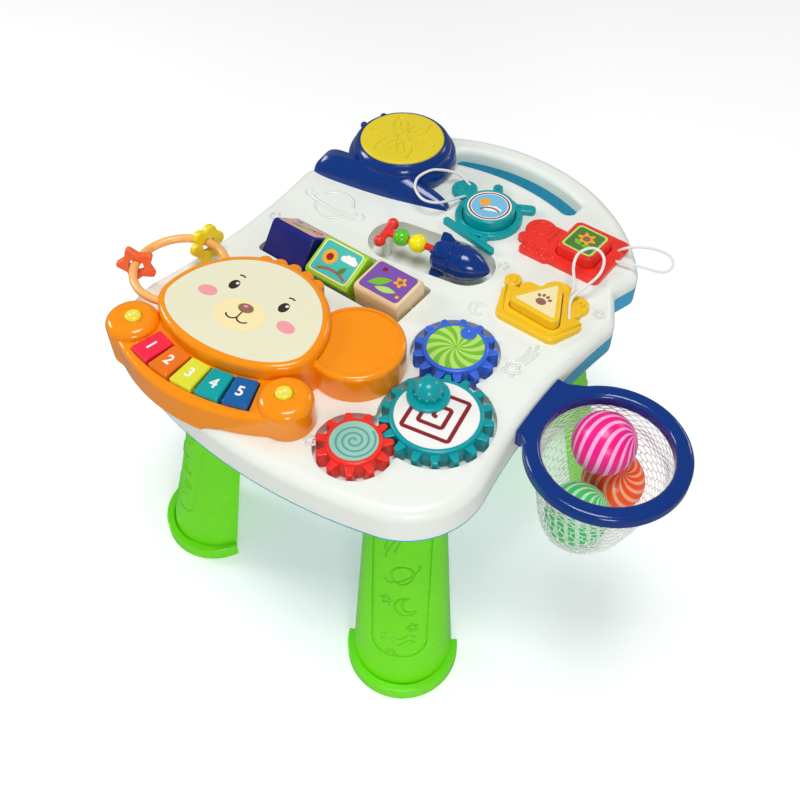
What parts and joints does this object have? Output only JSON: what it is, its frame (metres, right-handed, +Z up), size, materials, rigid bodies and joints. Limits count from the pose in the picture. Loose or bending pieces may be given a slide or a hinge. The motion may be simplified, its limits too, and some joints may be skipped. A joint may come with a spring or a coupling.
{
  "type": "activity walker table",
  "caption": "Low toddler activity table on splayed legs, with a small keyboard, tumbling blocks, a sliding rocket, meshing wheels, a drum, tethered shape pieces and a ball hoop with a net bag.",
  "frame": {"origin": "on the floor, under the middle of the table's overall length and width", "axes": "+X toward the ball hoop at the side, +Y toward the grab bar at the back, +Z up"},
  "size_m": [0.5884, 0.5323, 0.389],
  "materials": {
    "deck_white": "glossy",
    "deck_blue": "glossy",
    "leg_green": "glossy",
    "steel": "satin",
    "navy": "glossy",
    "lime": "glossy",
    "cream": "glossy",
    "rod_red": "glossy",
    "bead_green": "glossy",
    "yellow": "glossy",
    "teal": "glossy",
    "blue": "glossy",
    "pin_grey": "satin",
    "orange": "glossy",
    "board_green": "matte",
    "pad_rubber": "matte",
    "red": "glossy",
    "ring_peach": "glossy",
    "flower_yellow": "glossy",
    "star_orange": "glossy",
    "black": "satin",
    "cord_white": "matte",
    "net": "matte",
    "ball_green": "satin",
    "ball_orange": "satin",
    "ball_pink": "satin"
  },
  "bodies": {
    "walker": {"deck_top": "deck_white", "deck_base": "deck_blue", "block_axle": "steel", "leg_front_right": "leg_green", "leg_front_left": "leg_green", "leg_back_right": "leg_green", "leg_back_left": "leg_green", "rocket_rod": "rod_red", "gear_pins": "pin_grey", "piano_housing_top": "orange", "piano_housing_bottom": "orange", "battery_door": "orange", "batteries": "steel", "circuit_board": "board_green", "key_pads": "pad_rubber", "speaker": "deck_white", "face_panel": "cream", "ear_ring": "ring_peach", "drum_housing": "navy", "drum_switch": "deck_white", "helicopter_plate": "teal", "train_plate": "red", "boat_plate": "yellow", "cord_round": "cord_white", "cord_square": "cord_white", "cord_triangle": "cord_white", "hoop_ring": "navy", "net_bag": "net"},
    "block_blue": {"block_blue": "navy"},
    "block_green": {"block_green": "lime"},
    "block_cream": {"block_cream": "cream"},
    "bead_green": {"bead_green": "bead_green"},
    "bead_yellow": {"bead_yellow": "yellow"},
    "rocket": {"rocket": "navy"},
    "gear_teal": {"gear_teal": "teal"},
    "gear_red": {"gear_red": "rod_red"},
    "gear_blue": {"gear_blue": "blue"},
    "gear_knob": {"gear_knob": "teal"},
    "key_1": {"key_1": "red"},
    "key_2": {"key_2": "orange"},
    "key_3": {"key_3": "yellow"},
    "key_4": {"key_4": "teal"},
    "key_5": {"key_5": "blue"},
    "button_left": {"button_left": "yellow"},
    "button_right": {"button_right": "yellow"},
    "power_switch": {"power_switch": "black"},
    "flower_bead": {"flower_bead": "flower_yellow"},
    "star_bead": {"star_bead": "star_orange"},
    "drum_head": {"drum_head": "yellow"},
    "round_piece": {"round_piece": "teal"},
    "square_piece": {"square_piece": "red"},
    "triangle_piece": {"triangle_piece": "yellow"},
    "ball_green": {"ball_green": "ball_green"},
    "ball_orange": {"ball_orange": "ball_orange"},
    "ball_pink": {"ball_pink": "ball_pink"}
  },
  "joints": [
    {"name": "key_1_press", "type": "slide", "parent": "walker", "child": "key_1", "axis": [0, 0, -1], "range_m": [0, 0.002], "stiffness_N_per_m": 500, "springref_m": -0.0005},
    {"name": "key_2_press", "type": "slide", "parent": "walker", "child": "key_2", "axis": [0, 0, -1], "range_m": [0, 0.002], "stiffness_N_per_m": 500, "springref_m": -0.0005},
    {"name": "key_3_press", "type": "slide", "parent": "walker", "child": "key_3", "axis": [0, 0, -1], "range_m": [0, 0.002], "stiffness_N_per_m": 500, "springref_m": -0.0005},
    {"name": "key_4_press", "type": "slide", "parent": "walker", "child": "key_4", "axis": [0, 0, -1], "range_m": [0, 0.002], "stiffness_N_per_m": 500, "springref_m": -0.0005},
    {"name": "key_5_press", "type": "slide", "parent": "walker", "child": "key_5", "axis": [0, 0, -1], "range_m": [0, 0.002], "stiffness_N_per_m": 500, "springref_m": -0.0005},
    {"name": "button_left_press", "type": "slide", "parent": "walker", "child": "button_left", "axis": [0, 0, -1], "range_m": [0, 0.002], "stiffness_N_per_m": 500, "springref_m": -0.0005},
    {"name": "button_right_press", "type": "slide", "parent": "walker", "child": "button_right", "axis": [0, 0, -1], "range_m": [0, 0.002], "stiffness_N_per_m": 500, "springref_m": -0.0005},
    {"name": "drum_head_press", "type": "slide", "parent": "walker", "child": "drum_head", "axis": [0, 0, -1], "range_m": [0, 0.0025], "stiffness_N_per_m": 1200, "springref_m": -0.001},
    {"name": "block_blue_tumble", "type": "hinge", "parent": "walker", "child": "block_blue", "pos_m": [-0.12182, -0.02223, 0.3395], "axis": [1, 0, 0], "continuous": true},
    {"name": "block_green_tumble", "type": "hinge", "parent": "walker", "child": "block_green", "pos_m": [-0.12182, -0.02223, 0.3395], "axis": [1, 0, 0], "continuous": true},
    {"name": "block_cream_tumble", "type": "hinge", "parent": "walker", "child": "block_cream", "pos_m": [-0.12182, -0.02223, 0.3395], "axis": [1, 0, 0], "continuous": true},
    {"name": "bead_green_slide", "type": "slide", "parent": "walker", "child": "bead_green", "axis": [0.9863, 0.165, 0], "range_m": [-0.0035, 0]},
    {"name": "bead_yellow_slide", "type": "slide", "parent": "walker", "child": "bead_yellow", "axis": [0.9863, 0.165, 0], "range_m": [0, 0.005]},
    {"name": "rocket_slide", "type": "slide", "parent": "walker", "child": "rocket", "axis": [0.9863, 0.165, 0], "range_m": [-0.004, 0.0025]},
    {"name": "gear_teal_turn", "type": "hinge", "parent": "walker", "child": "gear_teal", "pos_m": [0.07648, -0.12643, 0.345], "axis": [0, 0, 1], "continuous": true},
    {"name": "gear_red_turn", "type": "hinge", "parent": "walker", "child": "gear_red", "pos_m": [0.03558, -0.1956, 0.345], "axis": [0, 0, 1], "continuous": true},
    {"name": "gear_blue_turn", "type": "hinge", "parent": "walker", "child": "gear_blue", "pos_m": [0.04133, -0.04783, 0.345], "axis": [0, 0, 1], "continuous": true},
    {"name": "gear_knob_turn", "type": "hinge", "parent": "gear_teal", "child": "gear_knob", "pos_m": [0.05772, -0.11401, 0.3536], "axis": [0, 0, 1], "continuous": true},
    {"name": "flower_bead_glide", "type": "hinge", "parent": "walker", "child": "flower_bead", "pos_m": [-0.23282, -0.14433, 0.371], "axis": [0, 0, 1], "range_deg": [-15, 25]},
    {"name": "star_bead_glide", "type": "hinge", "parent": "walker", "child": "star_bead", "pos_m": [-0.23282, -0.14433, 0.371], "axis": [0, 0, 1], "range_deg": [-30, 15]},
    {"name": "round_piece_lift", "type": "slide", "parent": "walker", "child": "round_piece", "axis": [0, 0, 1], "range_m": [0, 0.045], "deforming": ["cord_round"]},
    {"name": "square_piece_lift", "type": "slide", "parent": "walker", "child": "square_piece", "axis": [0, 0, 1], "range_m": [0, 0.045], "deforming": ["cord_square", "cord_triangle"]},
    {"name": "triangle_piece_lift", "type": "slide", "parent": "walker", "child": "triangle_piece", "axis": [0, 0, 1], "range_m": [0, 0.045], "deforming": ["cord_triangle"]},
    {"name": "ball_green_lift", "type": "slide", "parent": "walker", "child": "ball_green", "axis": [0, 0, 1], "range_m": [0, 0.008]},
    {"name": "ball_orange_lift", "type": "slide", "parent": "ball_green", "child": "ball_orange", "axis": [-0.1, 0.1701, 0.9803], "range_m": [0, 0.01]},
    {"name": "ball_pink_lift", "type": "slide", "parent": "ball_orange", "child": "ball_pink", "axis": [0, 0, 1], "range_m": [0, 0.11]},
    {"name": "power_switch_slide", "type": "slide", "parent": "walker", "child": "power_switch", "axis": [-0.5736, -0.8192, 0], "range_m": [0, 0.004]}
  ],
  "couplings": [
    {"joint": "gear_red_turn", "follows": "gear_teal_turn", "ratio": -1.5455},
    {"joint": "gear_blue_turn", "follows": "gear_teal_turn", "ratio": -1.3077}
  ]
}
